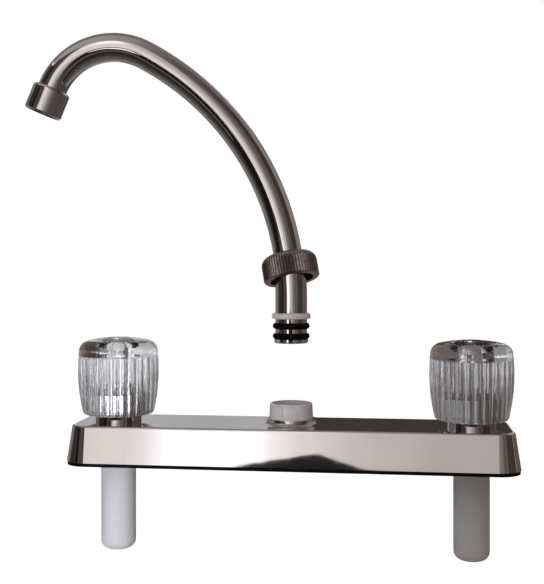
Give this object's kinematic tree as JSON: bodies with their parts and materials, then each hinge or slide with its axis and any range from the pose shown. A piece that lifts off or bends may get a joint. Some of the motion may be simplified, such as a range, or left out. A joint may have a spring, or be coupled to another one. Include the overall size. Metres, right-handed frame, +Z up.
{
  "type": "kitchen mixer tap",
  "caption": "Deck-mounted kitchen mixer tap with a swivelling gooseneck spout lifted out of its socket, clear turning knobs and capped inlet shanks.",
  "frame": {"origin": "on the deck plane under the gasket, midway between the two inlet shanks and on the spout socket's axis", "axes": "+Z up, +X to the right of someone facing the tap, -Y towards that person"},
  "size_m": [0.2782, 0.057, 0.298],
  "materials": {
    "chrome_plate": "polished",
    "plain_brass": "machined",
    "black_rubber": "matte",
    "white_plastic": "semi-gloss",
    "soft_white_plastic": "translucent satin",
    "clear_acrylic": "clear polished",
    "screen_steel": "plain"
  },
  "bodies": {
    "base": {"deck_cover": "chrome_plate", "base_gasket": "black_rubber", "spout_tee": "plain_brass", "spout_socket": "white_plastic", "left_valve_body": "plain_brass", "left_cross_tube": "plain_brass", "left_collar": "chrome_plate", "left_bonnet": "plain_brass", "right_valve_body": "plain_brass", "right_cross_tube": "plain_brass", "right_collar": "chrome_plate", "right_bonnet": "plain_brass"},
    "left_handle": {"left_spindle": "plain_brass", "left_spindle_seal": "black_rubber", "left_knob": "clear_acrylic", "left_knob_insert": "white_plastic", "left_knob_screw": "screen_steel", "left_knob_button": "clear_acrylic"},
    "left_stopper": {"left_valve_plug": "plain_brass", "left_seat_washer": "black_rubber"},
    "left_cap": {"left_shank_cap": "soft_white_plastic"},
    "right_handle": {"right_spindle": "plain_brass", "right_spindle_seal": "black_rubber", "right_knob": "clear_acrylic", "right_knob_insert": "white_plastic", "right_knob_screw": "screen_steel", "right_knob_button": "clear_acrylic"},
    "right_stopper": {"right_valve_plug": "plain_brass", "right_seat_washer": "black_rubber"},
    "right_cap": {"right_shank_cap": "soft_white_plastic"},
    "spout_ring": {"retaining_ring": "white_plastic"},
    "spout": {"spout_tube": "chrome_plate", "spout_sleeve": "chrome_plate", "upper_seal_ring": "black_rubber", "lower_seal_ring": "black_rubber", "outlet_ferrule": "plain_brass", "outlet_housing": "chrome_plate", "outlet_washer": "black_rubber", "outlet_insert": "white_plastic", "outlet_screen": "screen_steel"},
    "nut": {"coupling_nut": "chrome_plate"}
  },
  "joints": [
    {"name": "left_handle_turn", "type": "hinge", "parent": "base", "child": "left_handle", "pos_m": [-0.1016, 0, 0.04], "axis": [0, 0, 1], "range_deg": [0, 540]},
    {"name": "left_stopper_lift", "type": "slide", "parent": "base", "child": "left_stopper", "axis": [0, 0, 1], "range_m": [0, 0.003]},
    {"name": "left_cap_pull", "type": "slide", "parent": "base", "child": "left_cap", "axis": [0, 0, -1], "range_m": [0, 0.055]},
    {"name": "right_handle_turn", "type": "hinge", "parent": "base", "child": "right_handle", "pos_m": [0.1016, 0, 0.04], "axis": [0, 0, 1], "range_deg": [0, 540]},
    {"name": "right_stopper_lift", "type": "slide", "parent": "base", "child": "right_stopper", "axis": [0, 0, 1], "range_m": [0, 0.003]},
    {"name": "right_cap_pull", "type": "slide", "parent": "base", "child": "right_cap", "axis": [0, 0, -1], "range_m": [0, 0.055]},
    {"name": "spout_insert", "type": "slide", "parent": "base", "child": "spout_ring", "axis": [0, 0, 1], "range_m": [-0.0479, 0]},
    {"name": "spout_swivel", "type": "hinge", "parent": "spout_ring", "child": "spout", "pos_m": [0, 0, 0.0822], "axis": [0, 0, 1], "continuous": true},
    {"name": "nut_turn", "type": "hinge", "parent": "spout", "child": "nut", "pos_m": [-0.0018, 0.00089, 0.11742], "axis": [-0.1904, 0.2459, 0.9504], "continuous": true}
  ],
  "couplings": [
    {"joint": "left_stopper_lift", "follows": "left_handle_turn", "m_per_rad": 0.00031831},
    {"joint": "right_stopper_lift", "follows": "right_handle_turn", "m_per_rad": 0.00031831}
  ]
}
